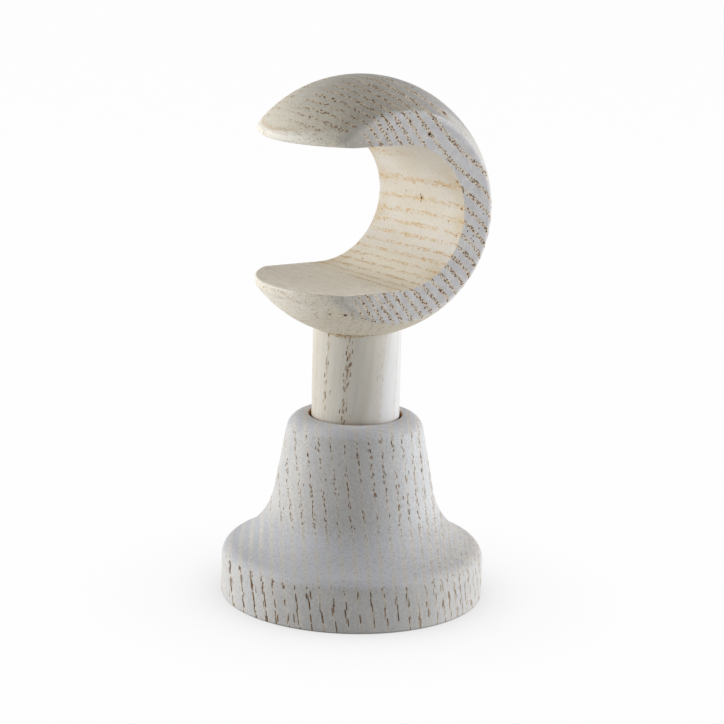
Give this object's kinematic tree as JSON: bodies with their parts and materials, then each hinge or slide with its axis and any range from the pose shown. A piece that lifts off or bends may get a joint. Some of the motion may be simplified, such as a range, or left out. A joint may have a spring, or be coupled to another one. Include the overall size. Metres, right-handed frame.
{
  "type": "curtain pole bracket",
  "caption": "Limed ash curtain pole bracket: a turned bell base, a dowel stem and a ball cup, sawn flat on both sides, that holds a round pole in a mouth open to the side.",
  "frame": {"origin": "centre of the base's flat back, the face that goes against the wall", "axes": "+Z out from the wall along the stem, Y along the pole, -X out of the cup's mouth"},
  "size_m": [0.054, 0.054, 0.1072],
  "materials": {
    "base_wood": "white-grey limed ash, matt",
    "stem_wood": "creamy limed ash, matt",
    "cup_wood": "white-grey limed ash, matt, warmer inside the bore"
  },
  "bodies": {
    "root": {"base": "base_wood", "stem": "stem_wood", "cup": "cup_wood"}
  },
  "joints": []
}
